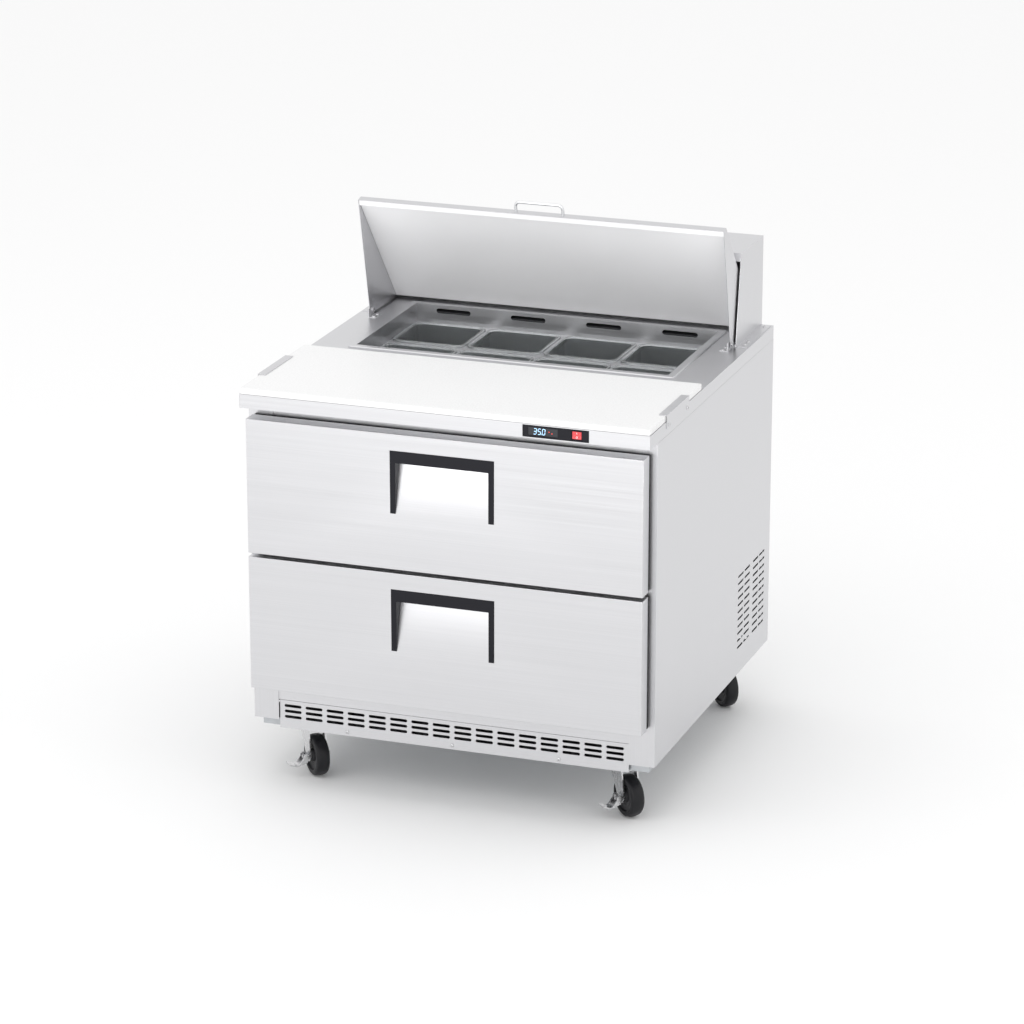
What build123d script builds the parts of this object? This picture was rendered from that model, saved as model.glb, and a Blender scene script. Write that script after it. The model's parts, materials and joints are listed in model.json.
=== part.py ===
from build123d import *
import math
import os

# Sandwich prep table: a refrigerated cabinet on casters with two drawers, a cutting board,
# a well of sixth-size pans and a hinged lid that swings into a rear hood.
# Millimetres. Origin on the floor under the middle of the footprint, +X to the right of
# a person standing at the board, +Y to the back, +Z up. The lid is drawn open.

os.makedirs("parts", exist_ok=True)

# ---- driving dimensions -------------------------------------------------------------
WIDTH = 905.0             # across the worktop and the side panels
DEPTH = 890.0             # worktop, front edge to back edge
WORKTOP_Z = 880.0         # height of the worktop's upper face
FASCIA = 30.0             # folded-down edge of the worktop
SHEET = 1.5               # worktop, hood and clip sheet
SKIN = 1.2                # side panels, grille and liner sheet
FIT = 0.3                 # gap between neighbouring loose pieces

FRONT = -DEPTH / 2
BACK = DEPTH / 2
SIDE = WIDTH / 2

# cabinet
OVERHANG = 50.0           # worktop beyond the cabinet's front face
FACE = FRONT + OVERHANG   # front face of the cabinet
PANEL_BOTTOM = 141.0
POST = 56.5               # visible corner post, folded from the side panel
CABINET_TOP = WORKTOP_Z - FASCIA - FIT
BASE_BOTTOM = 124.0       # lower edge of the base frame's skirt
BASE_HALF = 437.0
BASE_FRONT = FACE + 12.0
BASE_BACK = BACK - 12.0
PAN_PLATE = 2.0           # sheet of the base frame's floor and skirt
FRAME_THICK = 3.0         # frame around the drawer openings
FRAME_LAND = 16.0         # frame seen by the gasket, inside a drawer front's edges

# refrigerated compartment
LINER_HALF = 386.0
LINER_FLOOR = 214.0
LINER_TOP = 838.0
LINER_BACK_LOW = FRONT + 640.0
LINER_BACK_HIGH = FRONT + 806.0
MACHINE_TOP = 420.0       # step in the liner over the machine compartment

# drawers
DRAWER_HALF = 438.5
DRAWER_THICK = 37.0
DRAWER_HEIGHT = 296.0
DRAWER_TOPS = {"upper": 827.0, "lower": 522.5}
DRAWER_BACK = 1.0         # inner panel that closes a drawer front
TRAY_HALF = 355.0
TRAY_DEPTH = 550.0
TRAY_HEIGHT = 130.0
TRAY_DROP = 255.0         # tray floor below the top of the drawer front
TRAY_SHEET = 1.0
SLIDE_LENGTH = 520.0
SLIDE_HEIGHT = 45.0
SLIDE_DROP = 190.0        # top of the slide below the top of the drawer front

# recessed drawer handle
HANDLE_HALF = 115.0
HANDLE_HEIGHT = 137.0
HANDLE_DROP = 36.0        # top of the handle below the top of the drawer front
HANDLE_BAR = 26.0
HANDLE_LEG = 12.0
HANDLE_PROUD = 1.5
RECESS_DEPTH = 31.0

# cutting board and its clips
BOARD_DEPTH = 356.0
BOARD_THICK = 12.7
BOARD_HALF = 451.0
CLIP_FROM = 105.0
CLIP_LENGTH = 153.0
CLIP_FLANGE = 18.0
CLIP_LEG = 29.0

# pan well
WELL_HALF = 355.5
WELL_FRONT = FRONT + 424.0
WELL_BACK = FRONT + 789.0
WELL_LIP = 15.5
LIP_RISE = 4.0
WELL_FLOOR = 722.0
COLUMNS = 4
ROWS = 2
PAN_DROP = 40.0           # pan rims below the lip
PAN_X = 175.0
PAN_Y = 162.0
PAN_DEPTH = 102.0
PAN_WALL = 2.5
PAN_RIM = 3.0
PAN_RADIUS = 22.0
RIM_TOP = WORKTOP_Z + LIP_RISE - PAN_DROP
RAIL_TOP = RIM_TOP - PAN_RIM - FIT

# hood and lid
HOOD_HALF = 425.0
HOOD_TOP = 1083.0
HOOD_FOOT_Y = FRONT + 690.0
HOOD_FRONT_Y = FRONT + 722.0
VALANCE = 18.0
LID_HALF = 420.0
PIVOT_Y = FRONT + 673.0
PIVOT_Z = WORKTOP_Z + 12.0
LID_REACH = 277.0         # pivot to the lid's front lip
LID_OPEN = 77.0           # degrees from closed to open
LIP_LOW = -8.0            # the lip's lower and upper edge, from the pivot, lid closed
LIP_HIGH = 9.0
LID_REAR = (44.0, 168.0)  # upper rear corner from the pivot, lid closed
LID_SKIN = 1.2
LID_THICK = 15.0
PIVOT_BOSS = 8.0
PIN_RADIUS = 3.0
PIN_CLEAR = 0.05

# casters
WHEEL_RADIUS = 46.0
WHEEL_WIDTH = 30.0
CASTER_X = 355.0
CASTER_FRONT = FRONT + 134.0
CASTER_BACK = FRONT + 834.0
TRAIL = 30.0
FORK_GAP = 2.0
FORK_SHEET = 3.0
SWIVEL_HEIGHT = 104.0     # top of the fork's crown
PLATE_TOP = PANEL_BOTTOM - PAN_PLATE   # caster plates bolt up against the base frame
CASTERS = {
    "front_left": (-CASTER_X, CASTER_FRONT, -47.0),
    "front_right": (CASTER_X, CASTER_FRONT, -43.0),
    "rear_left": (-CASTER_X, CASTER_BACK, -52.0),
    "rear_right": (CASTER_X, CASTER_BACK, -46.0),
}

# grilles and vents
GRILLE_HALF = 396.0
GRILLE_TOP = 187.0
GRILLE_BOTTOM = 122.0
GRILLE_SLOT = (39.0, 6.5)
GRILLE_COLUMNS = 16
GRILLE_ROWS = 3
GRILLE_PITCH = (48.6, 12.4)
VENT_SLOT = (41.0, 5.0)
VENT_COLUMNS = [FRONT + y for y in (667.0, 716.0, 781.0, 829.0)]
VENT_ROWS = 11
VENT_PITCH = 16.6
VENT_BOTTOM = 203.0

# controls in the fascia
BEZEL_X = (177.0, 321.0)
BEZEL_Z = (WORKTOP_Z - 28.0, WORKTOP_Z - 2.0)
WINDOW_X = (189.0, 253.0)
WINDOW_Z = (WORKTOP_Z - 23.5, WORKTOP_Z - 6.5)
SWITCH_X = 294.0
SWITCH_Z = WORKTOP_Z - 15.0

# machinery
FIN_COUNT = 30
FIN_THICK = 1.0
COIL_Y = FRONT + 700.0
EVAPORATOR_FAN = (0.0, FRONT + 742.0, 560.0)
CONDENSER_FAN = (330.0, FRONT + 765.0, 290.0)

# screws, all of one size
SCREW_HEAD = 4.5
SCREW_HEAD_HEIGHT = 2.4
SCREW_SHAFT = 2.0
SCREW_LENGTH = 6.0
SCREW_HOLE = 2.15


# ---- helpers --------------------------------------------------------------------------
def slab(x, y, z, mode=Mode.ADD):
    """A block between two values on each axis, added to the part being built."""
    with Locations(((x[0] + x[1]) / 2, (y[0] + y[1]) / 2, (z[0] + z[1]) / 2)):
        Box(x[1] - x[0], y[1] - y[0], z[1] - z[0], mode=mode)


def prism(plane, points, length, mode=Mode.ADD):
    """A straight-sided outline drawn on a plane and extruded."""
    with BuildSketch(plane) as outline:
        with BuildLine():
            Polyline(*points, close=True)
        make_face()
    extrude(outline.sketch, amount=length, mode=mode)


def rod(plane, radius, length, mode=Mode.ADD):
    """A round bar or hole along a plane's normal."""
    with BuildSketch(plane) as section:
        Circle(radius)
    extrude(section.sketch, amount=length, mode=mode)


def carried(frame, plane):
    """A standard plane taken along with a local frame."""
    return Plane(frame.location * plane.location)


def save(piece, name):
    """Label a finished piece and write its file."""
    piece.part.label = name
    export_step(piece.part, f"parts/{name}.step")


# ---- screws ---------------------------------------------------------------------------
# Each plane lies on the sheet that a head bears on, with its normal pointing outwards.
LEFT_AND_RIGHT = (-1, 1)
GRILLE_Y = FACE + 4.0
grille_screws = [
    Plane((x, GRILLE_Y, GRILLE_BOTTOM + 9.0), x_dir=(1, 0, 0), z_dir=(0, -1, 0))
    for x in (-240.0, 0.0, 240.0)
]
hood_screws = [
    Plane((side * (HOOD_HALF + 13.0), HOOD_FOOT_Y + y, WORKTOP_Z + SHEET))
    for side in LEFT_AND_RIGHT
    for y in (22.0, 46.0, 176.0)
]
bracket_screws = [
    Plane((side * (LID_HALF - 13.0), PIVOT_Y + y, WORKTOP_Z + SHEET))
    for side in LEFT_AND_RIGHT
    for y in (-16.0, 4.0)
]
clip_screws = [
    Plane(
        (side * (SIDE + SHEET), FRONT + CLIP_FROM + y, WORKTOP_Z - 8.0),
        x_dir=(0, 1, 0),
        z_dir=(side, 0, 0),
    )
    for side in LEFT_AND_RIGHT
    for y in (14.0, CLIP_LENGTH - 14.0)
]
all_screws = grille_screws + hood_screws + bracket_screws + clip_screws


def screw_holes(planes):
    """Clearance holes for screws through the part being built."""
    for plane in planes:
        rod(plane.offset(2 * SHEET), SCREW_HOLE, -4 * SCREW_LENGTH, mode=Mode.SUBTRACT)


with BuildPart() as panel_screws:
    for plane in all_screws:
        rod(plane, SCREW_HEAD, SCREW_HEAD_HEIGHT)
        head_edges = panel_screws.edges(Select.LAST).filter_by(GeomType.CIRCLE)
        fillet(head_edges.sort_by(Axis(plane.origin, plane.z_dir))[-1], SCREW_HEAD_HEIGHT * 0.6)
        rod(plane, SCREW_SHAFT, -SCREW_LENGTH)
save(panel_screws, "panel_screws")


# ---- cabinet body ---------------------------------------------------------------------
def make_side_panel(side, vented):
    """A side skin with its folded front post and rear flange."""
    outer = side * SIDE
    with BuildPart() as panel:
        slab(sorted((outer, outer - side * SKIN)), (FACE, BACK - FIT),
             (PANEL_BOTTOM, CABINET_TOP))
        slab(sorted((outer, outer - side * POST)), (FACE, FACE + SKIN),
             (PANEL_BOTTOM, CABINET_TOP))
        slab(sorted((outer, outer - side * 16.0)), (BACK - FIT - SKIN, BACK - FIT),
             (PANEL_BOTTOM, CABINET_TOP))
        if vented:
            rows = VENT_BOTTOM + VENT_PITCH * (VENT_ROWS - 1) / 2
            for y in VENT_COLUMNS:
                with BuildSketch(Plane((outer, y, rows), x_dir=(0, 1, 0), z_dir=(1, 0, 0))):
                    with GridLocations(1, VENT_PITCH, 1, VENT_ROWS):
                        SlotOverall(*VENT_SLOT)
                extrude(amount=2 * SKIN, both=True, mode=Mode.SUBTRACT)
    return panel


save(make_side_panel(-1, False), "side_panel_left")
save(make_side_panel(1, True), "side_panel_right")

with BuildPart() as back_panel:
    slab((-SIDE + 17.0, SIDE - 17.0), (BACK - FIT - SKIN, BACK - FIT),
         (PANEL_BOTTOM, CABINET_TOP))
    with BuildSketch(Plane((0, BACK, VENT_BOTTOM + 80.0), x_dir=(-1, 0, 0), z_dir=(0, 1, 0))):
        with GridLocations(60.0, VENT_PITCH, 9, 9):
            SlotOverall(50.0, VENT_SLOT[1])
    extrude(amount=2 * SKIN, both=True, mode=Mode.SUBTRACT)
    rod(Plane((-340.0, BACK - 3 * SKIN, 200.0), x_dir=(1, 0, 0), z_dir=(0, 1, 0)),
        11.1, 6 * SKIN, mode=Mode.SUBTRACT)
save(back_panel, "back_panel")

with BuildPart() as cord_gland:
    gland_plane = Plane((-340.0, BACK - FIT, 200.0), x_dir=(1, 0, 0), z_dir=(0, 1, 0))
    rod(gland_plane, 15.0, 3.0)
    rod(gland_plane, 11.0, -14.0)
    rod(gland_plane.offset(4.0), 4.0, -20.0, mode=Mode.SUBTRACT)
save(cord_gland, "cord_gland")

with BuildPart() as base_frame:
    slab((-BASE_HALF, BASE_HALF), (BASE_FRONT, BASE_BACK), (BASE_BOTTOM, PANEL_BOTTOM))
    slab((-BASE_HALF + PAN_PLATE, BASE_HALF - PAN_PLATE),
         (BASE_FRONT + PAN_PLATE, BASE_BACK - PAN_PLATE),
         (BASE_BOTTOM, PANEL_BOTTOM - PAN_PLATE), mode=Mode.SUBTRACT)
    screw_holes(grille_screws)
save(base_frame, "base_frame")

FRAME_Y = (FACE + SKIN + FIT, FACE + SKIN + FIT + FRAME_THICK)
with BuildPart() as front_frame:
    slab((-SIDE + SKIN + FIT, SIDE - SKIN - FIT), FRAME_Y,
         (GRILLE_TOP + FIT, CABINET_TOP))
    for top in DRAWER_TOPS.values():
        slab((-LINER_HALF, LINER_HALF), (FRAME_Y[0] - 1, FRAME_Y[1] + 1),
             (top - DRAWER_HEIGHT + FRAME_LAND, top - FRAME_LAND), mode=Mode.SUBTRACT)
save(front_frame, "front_frame")


def liner_profile(grow):
    """Side outline of the cold compartment, grown outwards by a wall."""
    return [
        (FRAME_Y[1] + FIT, LINER_FLOOR - grow),
        (LINER_BACK_LOW + grow, LINER_FLOOR - grow),
        (LINER_BACK_LOW + grow, MACHINE_TOP - grow),
        (LINER_BACK_HIGH + grow, MACHINE_TOP - grow),
        (LINER_BACK_HIGH + grow, LINER_TOP + grow),
        (FRAME_Y[1] + FIT, LINER_TOP + grow),
    ]


WELL_CUT_X = (-WELL_HALF - SKIN - FIT, WELL_HALF + SKIN + FIT)
WELL_CUT_Y = (WELL_FRONT - SKIN - FIT, WELL_BACK + SKIN + FIT)
with BuildPart() as inner_liner:
    prism(Plane.YZ.offset(-LINER_HALF - SKIN), liner_profile(SKIN), 2 * (LINER_HALF + SKIN))
    inside = liner_profile(0)
    inside[0] = (inside[0][0] - 1, inside[0][1])
    inside[-1] = (inside[-1][0] - 1, inside[-1][1])
    prism(Plane.YZ.offset(-LINER_HALF), inside, 2 * LINER_HALF, mode=Mode.SUBTRACT)
    slab(WELL_CUT_X, WELL_CUT_Y, (LINER_TOP - 5, LINER_TOP + 5), mode=Mode.SUBTRACT)
save(inner_liner, "inner_liner")

FOAM = LINER_HALF + SKIN + FIT
FOAM_UNDER = 30.0         # foam below the liner
FOAM_BEHIND = 25.0        # foam behind the lower part of the liner
FOAM_TOP = WORKTOP_Z - 2 * SCREW_LENGTH
with BuildPart() as insulation:
    foam_front = GRILLE_Y + SKIN + FIT
    foam_back = BACK - 2.0
    for side in LEFT_AND_RIGHT:
        slab(sorted((side * FOAM, side * (SIDE - SKIN - FIT))), (foam_front, LINER_BACK_LOW),
             (LINER_FLOOR - FOAM_UNDER, LINER_TOP + SKIN))
        slab(sorted((side * FOAM, side * (SIDE - SKIN - FIT))), (LINER_BACK_LOW, foam_back),
             (MACHINE_TOP - FOAM_UNDER, LINER_TOP + SKIN))
    slab((-FOAM, FOAM), (foam_front, LINER_BACK_LOW + FOAM_BEHIND),
         (LINER_FLOOR - FOAM_UNDER, LINER_FLOOR - SKIN - FIT))
    slab((-FOAM, FOAM), (LINER_BACK_LOW + SKIN + FIT, LINER_BACK_LOW + FOAM_BEHIND),
         (LINER_FLOOR - SKIN - FIT, MACHINE_TOP - SKIN - FIT))
    slab((-FOAM, FOAM), (LINER_BACK_LOW + FOAM_BEHIND, foam_back),
         (MACHINE_TOP - FOAM_UNDER, MACHINE_TOP - SKIN - FIT))
    slab((-FOAM, FOAM), (LINER_BACK_HIGH + SKIN + FIT, foam_back),
         (MACHINE_TOP - SKIN - FIT, LINER_TOP + SKIN))
    slab((-SIDE + 2 * SHEET, SIDE - 2 * SHEET), (foam_front, foam_back),
         (LINER_TOP + SKIN + FIT, FOAM_TOP))
    slab(WELL_CUT_X, WELL_CUT_Y, (LINER_TOP - 5, FOAM_TOP + 5), mode=Mode.SUBTRACT)
save(insulation, "insulation")

with BuildPart() as worktop:
    slab((-SIDE, SIDE), (FRONT, BACK), (WORKTOP_Z - FASCIA, WORKTOP_Z))
    fillet(worktop.edges().filter_by(Axis.Z), 2.0)
    slab((-SIDE + SHEET, SIDE - SHEET), (FACE, BACK - SHEET),
         (WORKTOP_Z - FASCIA - 1, WORKTOP_Z - SHEET), mode=Mode.SUBTRACT)
    slab((-SIDE + SHEET, SIDE - SHEET), (FRONT + SHEET, FACE),
         (WORKTOP_Z - FASCIA + SHEET, WORKTOP_Z - SHEET), mode=Mode.SUBTRACT)
    slab(WELL_CUT_X, WELL_CUT_Y, (WORKTOP_Z - FASCIA, WORKTOP_Z + 1), mode=Mode.SUBTRACT)
    slab(BEZEL_X, (FRONT - 1, FRONT + SHEET + 1), BEZEL_Z, mode=Mode.SUBTRACT)
    screw_holes(hood_screws + bracket_screws + clip_screws)
save(worktop, "worktop")


# ---- pan well -------------------------------------------------------------------------
WELL_MID = (WELL_FRONT + WELL_BACK) / 2
COLUMN_PITCH = 2 * WELL_HALF / COLUMNS
ROW_PITCH = (WELL_BACK - WELL_FRONT) / ROWS
PAN_FLANGE = 5.5          # rim beyond the pan's body
BODY_X = PAN_X / 2 - PAN_FLANGE
BODY_Y = PAN_Y / 2 - PAN_FLANGE
PAN_DRAFT = 9.0           # how far each wall leans in from rim to floor
RAIL_CLEAR = 0.9
RAIL_HEIGHT = 9.0
WELL_SLOT = (82.0, 11.0)

with BuildPart() as pan_well:
    slab((-WELL_HALF - WELL_LIP, WELL_HALF + WELL_LIP),
         (WELL_FRONT - WELL_LIP, WELL_BACK + WELL_LIP), (WORKTOP_Z, WORKTOP_Z + LIP_RISE))
    fillet(pan_well.edges().filter_by(Axis.Z), 6.0)
    chamfer(pan_well.faces().sort_by(Axis.Z)[-1].edges(), 2.0)
    slab((-WELL_HALF - SKIN, WELL_HALF + SKIN), (WELL_FRONT - SKIN, WELL_BACK + SKIN),
         (WELL_FLOOR, WORKTOP_Z))
    slab((-WELL_HALF, WELL_HALF), (WELL_FRONT, WELL_BACK),
         (WELL_FLOOR - 1, WORKTOP_Z + LIP_RISE + 1), mode=Mode.SUBTRACT)
    with BuildSketch(Plane((0, WELL_BACK, WORKTOP_Z - 10.0), x_dir=(1, 0, 0), z_dir=(0, -1, 0))):
        with GridLocations(COLUMN_PITCH, 1, COLUMNS, 1):
            SlotOverall(*WELL_SLOT)
    extrude(amount=3 * SKIN, both=True, mode=Mode.SUBTRACT)
save(pan_well, "pan_well")

with BuildPart() as pan_rails:
    slab((-WELL_HALF + FIT, WELL_HALF - FIT), (WELL_FRONT + FIT, WELL_BACK - FIT),
         (RAIL_TOP - RAIL_HEIGHT, RAIL_TOP))
    with Locations((0, WELL_MID, RAIL_TOP - RAIL_HEIGHT / 2)):
        with GridLocations(COLUMN_PITCH, ROW_PITCH, COLUMNS, ROWS):
            Box(2 * (BODY_X + RAIL_CLEAR), 2 * (BODY_Y + RAIL_CLEAR), RAIL_HEIGHT + 3.0,
                mode=Mode.SUBTRACT)
save(pan_rails, "pan_rails")


def make_pan(x, y):
    """A clear sixth-size food pan with a flat rim."""
    top = Plane((x, y, RIM_TOP))
    draft = PAN_DRAFT * (PAN_DEPTH - PAN_WALL) / PAN_DEPTH
    with BuildPart() as pan:
        with BuildSketch(top):
            RectangleRounded(PAN_X, PAN_Y, PAN_RADIUS)
        extrude(amount=-PAN_RIM)
        chamfer(pan.faces().sort_by(Axis.Z)[-1].edges(), 0.8)
        with BuildSketch(top.offset(-PAN_RIM)):
            RectangleRounded(2 * BODY_X, 2 * BODY_Y, PAN_RADIUS)
        with BuildSketch(top.offset(-PAN_DEPTH)):
            RectangleRounded(2 * (BODY_X - PAN_DRAFT), 2 * (BODY_Y - PAN_DRAFT), PAN_RADIUS)
        loft()
        with BuildSketch(top):
            RectangleRounded(2 * (BODY_X - PAN_WALL), 2 * (BODY_Y - PAN_WALL),
                             PAN_RADIUS - PAN_WALL)
        with BuildSketch(top.offset(-PAN_DEPTH + PAN_WALL)):
            RectangleRounded(2 * (BODY_X - PAN_WALL - draft), 2 * (BODY_Y - PAN_WALL - draft),
                             PAN_RADIUS - PAN_WALL)
        loft(mode=Mode.SUBTRACT)
    return pan


for row in range(ROWS):
    for column in range(COLUMNS):
        pan_x = (column - (COLUMNS - 1) / 2) * COLUMN_PITCH
        pan_y = WELL_MID + (row - (ROWS - 1) / 2) * ROW_PITCH
        row_name = ("front", "rear")[row]
        save(make_pan(pan_x, pan_y), f"pan_{row_name}_{column + 1}")


# ---- cutting board and clips ----------------------------------------------------------
BOARD_Z = (WORKTOP_Z + FIT, WORKTOP_Z + FIT + BOARD_THICK)
with BuildPart() as cutting_board:
    slab((-BOARD_HALF, BOARD_HALF), (FRONT, FRONT + BOARD_DEPTH), BOARD_Z)
    fillet(cutting_board.edges().filter_by(Axis.Z), 4.0)
    fillet(cutting_board.faces().sort_by(Axis.Z)[-1].edges(), 1.5)
save(cutting_board, "cutting_board")

CLIP_TOP = BOARD_Z[1] + FIT + SHEET
with BuildPart() as board_clips:
    for side in LEFT_AND_RIGHT:
        reach = (FRONT + CLIP_FROM, FRONT + CLIP_FROM + CLIP_LENGTH)
        slab(sorted((side * SIDE, side * (SIDE + SHEET))), reach,
             (CLIP_TOP - CLIP_LEG, CLIP_TOP))
        slab(sorted((side * (SIDE + SHEET), side * (SIDE + SHEET - CLIP_FLANGE))), reach,
             (CLIP_TOP - SHEET, CLIP_TOP))
    screw_holes(clip_screws)
save(board_clips, "board_clips")


# ---- controls -------------------------------------------------------------------------
SWITCH_HALF = 10.0
SWITCH_TALL = 8.3
SWITCH_DEEP = 6.0
with BuildPart() as control_bezel:
    slab(BEZEL_X, (FRONT + 0.8, FRONT + 14.0), BEZEL_Z)
    slab(WINDOW_X, (FRONT, FRONT + 3.0), WINDOW_Z, mode=Mode.SUBTRACT)
    slab((SWITCH_X - SWITCH_HALF - 1, SWITCH_X + SWITCH_HALF + 1), (FRONT, FRONT + 13.0),
         (SWITCH_Z - SWITCH_TALL - 1.7, SWITCH_Z + SWITCH_TALL + 1.7), mode=Mode.SUBTRACT)
    rod(Plane((SWITCH_X - SWITCH_HALF - 3.2, FRONT + SWITCH_DEEP, SWITCH_Z), z_dir=(1, 0, 0)),
        1.55, 2 * SWITCH_HALF + 6.4, mode=Mode.SUBTRACT)
save(control_bezel, "control_bezel")

with BuildPart() as display_window:
    slab((WINDOW_X[0] + FIT, WINDOW_X[1] - FIT), (FRONT + 1.6, FRONT + 3.0),
         (WINDOW_Z[0] + FIT, WINDOW_Z[1] - FIT))
save(display_window, "display_window")

with BuildPart() as power_switch:
    rocker = [(-0.2, -SWITCH_TALL), (0.9, 0), (-0.2, SWITCH_TALL), (SWITCH_DEEP, 3.0),
              (SWITCH_DEEP + 3.0, 0), (SWITCH_DEEP, -3.0)]
    prism(Plane.YZ.offset(SWITCH_X - SWITCH_HALF),
          [(FRONT + 1.6 + y, SWITCH_Z + z) for y, z in rocker], 2 * SWITCH_HALF)
    rod(Plane((SWITCH_X - SWITCH_HALF - 2.9, FRONT + SWITCH_DEEP, SWITCH_Z), z_dir=(1, 0, 0)),
        1.5, 2 * SWITCH_HALF + 5.8)
save(power_switch, "power_switch")

with BuildPart() as front_grille:
    slab((-GRILLE_HALF + 1.0, GRILLE_HALF - 1.0), (GRILLE_Y, GRILLE_Y + SKIN),
         (GRILLE_BOTTOM, GRILLE_TOP - 1.5))
    with BuildSketch(Plane((0, GRILLE_Y, 161.0), x_dir=(1, 0, 0), z_dir=(0, -1, 0))):
        with GridLocations(*GRILLE_PITCH, GRILLE_COLUMNS, GRILLE_ROWS):
            SlotOverall(*GRILLE_SLOT)
    extrude(amount=3 * SKIN, both=True, mode=Mode.SUBTRACT)
    screw_holes(grille_screws)
save(front_grille, "front_grille")


# ---- hood -----------------------------------------------------------------------------
HOOD_LEAN = (HOOD_FRONT_Y - HOOD_FOOT_Y) / (HOOD_TOP - WORKTOP_Z)


def hood_front(z):
    """Front edge of the hood's side at a height."""
    return HOOD_FOOT_Y + HOOD_LEAN * (z - WORKTOP_Z)


with BuildPart() as hood:
    prism(Plane.YZ.offset(-HOOD_HALF),
          [(HOOD_FOOT_Y, WORKTOP_Z), (HOOD_FRONT_Y, HOOD_TOP), (BACK, HOOD_TOP),
           (BACK, WORKTOP_Z)], 2 * HOOD_HALF)
    valance_z = HOOD_TOP - VALANCE
    ahead = HOOD_FOOT_Y - 50.0
    prism(Plane.YZ.offset(-HOOD_HALF + SHEET),
          [(ahead, WORKTOP_Z - 1), (ahead, valance_z),
           (hood_front(valance_z) + SHEET, valance_z),
           (hood_front(HOOD_TOP) + SHEET, HOOD_TOP - SHEET),
           (BACK - SHEET, HOOD_TOP - SHEET), (BACK - SHEET, WORKTOP_Z - 1)],
          2 * (HOOD_HALF - SHEET), mode=Mode.SUBTRACT)
    for side in LEFT_AND_RIGHT:
        slab(sorted((side * (HOOD_HALF - SHEET), side * (HOOD_HALF + 23.0))),
             (HOOD_FOOT_Y + 4.0, BACK - 6.0), (WORKTOP_Z, WORKTOP_Z + SHEET))
    screw_holes(hood_screws)
save(hood, "hood")


# ---- lid ------------------------------------------------------------------------------
# The lid is drawn closed on a plane through its pivot, and the plane is turned open.
def lid_plane(x):
    """Side-view plane of the open lid: local x is to the back when closed."""
    turn = math.radians(-LID_OPEN)
    return Plane((x, PIVOT_Y, PIVOT_Z), x_dir=(0, math.cos(turn), math.sin(turn)),
                 z_dir=(1, 0, 0))


lip_bottom = (-LID_REACH, LIP_LOW)
lip_top = (-LID_REACH, LIP_HIGH)
roof_slope = math.atan2(LID_REAR[1] - LIP_HIGH, LID_REAR[0] + LID_REACH)
rear_slope = math.atan2(LID_REAR[1] + 1.6, LID_REAR[0] - 7.9)
rear_start = (PIVOT_BOSS * math.sin(rear_slope), -PIVOT_BOSS * math.cos(rear_slope))
arc_middle = (PIVOT_BOSS * math.sin(rear_slope / 2), -PIVOT_BOSS * math.cos(rear_slope / 2))


def roof(u, depth):
    """Height of a line parallel to the lid's roof, a given depth below it."""
    return LIP_HIGH + (u + LID_REACH) * math.tan(roof_slope) - depth / math.cos(roof_slope)


with BuildPart() as lid_outer:
    with BuildSketch(lid_plane(-LID_HALF)):
        with BuildLine():
            Line(lip_bottom, (0, -PIVOT_BOSS))
            ThreePointArc((0, -PIVOT_BOSS), arc_middle, rear_start)
            Polyline(rear_start, LID_REAR, lip_top, lip_bottom)
        make_face()
    extrude(amount=2 * LID_HALF)
    prism(lid_plane(-LID_HALF + LID_SKIN),
          [(-LID_REACH + LID_SKIN, -60.0), (100.0, -60.0), (100.0, roof(100.0, LID_SKIN)),
           (-LID_REACH + LID_SKIN, roof(-LID_REACH + LID_SKIN, LID_SKIN))],
          2 * (LID_HALF - LID_SKIN), mode=Mode.SUBTRACT)
    rod(lid_plane(-LID_HALF - 1), PIN_RADIUS + PIN_CLEAR, 2 * LID_HALF + 2, mode=Mode.SUBTRACT)
save(lid_outer, "lid_outer")

LINING_GAP = LID_SKIN + FIT
LINING_WALL = 1.0
LINING_LIP = 12.0         # thickness of the lining behind the front lip
LINING_SHORT = 5.0        # lining stops short of the lid's rear corner
with BuildPart() as lid_inner:
    front = -LID_REACH + LINING_GAP
    rear = LID_REAR[0] - LINING_SHORT
    lip_edge = LIP_LOW + 1.0
    prism(lid_plane(-LID_HALF + LINING_GAP),
          [(front, lip_edge), (front + LINING_LIP, lip_edge),
           (front + LINING_LIP, roof(front + LINING_LIP, LID_THICK)),
           (rear, roof(rear, LID_THICK)), (rear, roof(rear, LINING_GAP)),
           (front, roof(front, LINING_GAP))],
          2 * (LID_HALF - LINING_GAP))
    deep = LID_THICK - LINING_WALL
    front += LINING_WALL
    rear -= LINING_WALL
    lip_edge += LINING_WALL
    behind_lip = front + LINING_LIP - 2 * LINING_WALL
    prism(lid_plane(-LID_HALF + LINING_GAP + LINING_WALL),
          [(front, lip_edge), (behind_lip, lip_edge), (behind_lip, roof(behind_lip, deep)),
           (rear, roof(rear, deep)), (rear, roof(rear, 0)), (front, roof(front, 0))],
          2 * (LID_HALF - LINING_GAP - LINING_WALL), mode=Mode.SUBTRACT)
save(lid_inner, "lid_inner")

LID_HANDLE_HALF = 54.0
LID_HANDLE_OUT = 24.0
LID_HANDLE_ROD = 3.5
with BuildPart() as lid_handle:
    lip_face = lid_plane(0)
    grip_plane = Plane(
        lip_face.from_local_coords((-LID_REACH, (LIP_LOW + LIP_HIGH) / 2, 0)),
        x_dir=(1, 0, 0),
        z_dir=-lip_face.y_dir,
    )
    with BuildLine(grip_plane) as grip_line:
        FilletPolyline((-LID_HANDLE_HALF, 0), (-LID_HANDLE_HALF, LID_HANDLE_OUT),
                       (LID_HANDLE_HALF, LID_HANDLE_OUT), (LID_HANDLE_HALF, 0),
                       radius=10.0)
    with BuildSketch(Plane(origin=grip_line.line @ 0, z_dir=grip_line.line % 0)):
        Circle(LID_HANDLE_ROD)
    sweep()
save(lid_handle, "lid_handle")

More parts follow.
